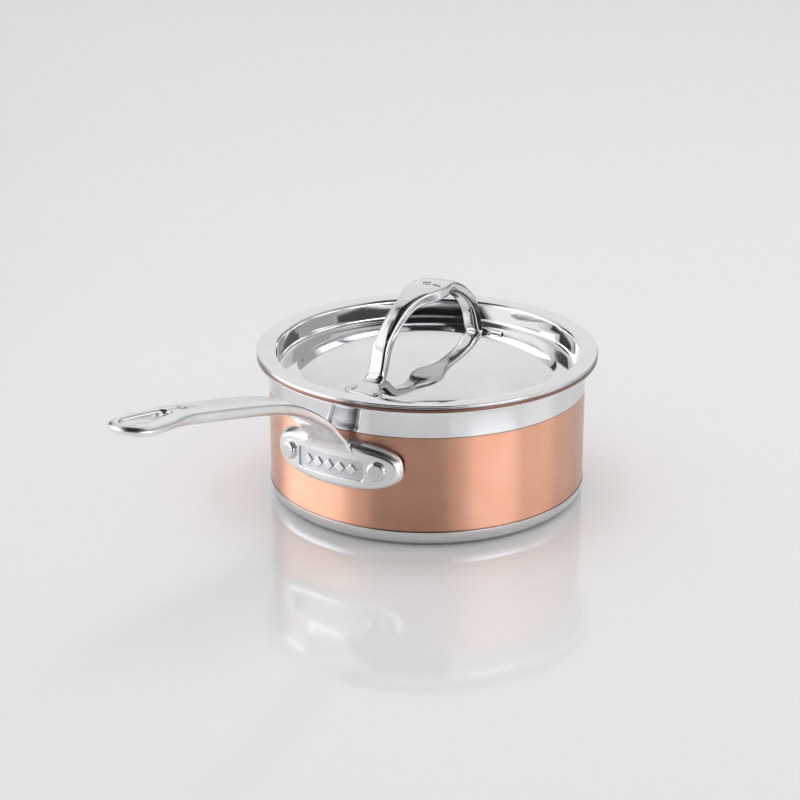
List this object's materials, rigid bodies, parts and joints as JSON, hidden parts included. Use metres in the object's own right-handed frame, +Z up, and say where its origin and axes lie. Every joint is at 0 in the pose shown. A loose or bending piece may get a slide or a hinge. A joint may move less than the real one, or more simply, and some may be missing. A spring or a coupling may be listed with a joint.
{
  "type": "saucepan with lid",
  "caption": "Clad copper saucepan with a riveted long cast handle and a recessed steel lid with an arched handle, which lifts off.",
  "frame": {"origin": "centre of the flat underside of the base, on the table", "axes": "+Z up, +X along the long handle, +Y to the left of the handle"},
  "size_m": [0.3286, 0.1764, 0.1117],
  "materials": {
    "liner_steel": "satin",
    "aluminium": "matte",
    "copper": "polished copper",
    "outer_steel": "polished",
    "cast_steel": "satin polished",
    "lid_steel": "mirror polished"
  },
  "bodies": {
    "pan": {"inner_liner": "liner_steel", "aluminium_core": "aluminium", "copper_wall": "copper", "rim_band": "outer_steel", "base_shell": "outer_steel", "long_handle": "cast_steel", "handle_rivet_left": "cast_steel", "handle_rivet_right": "cast_steel"},
    "lid": {"lid_shell": "lid_steel", "lid_handle": "cast_steel", "lid_rivet_front_left": "cast_steel", "lid_rivet_front_right": "cast_steel", "lid_rivet_back_left": "cast_steel", "lid_rivet_back_right": "cast_steel"}
  },
  "joints": [
    {"name": "lid_lift", "type": "slide", "parent": "pan", "child": "lid", "axis": [0, 0, 1], "range_m": [0, 0.12]}
  ]
}
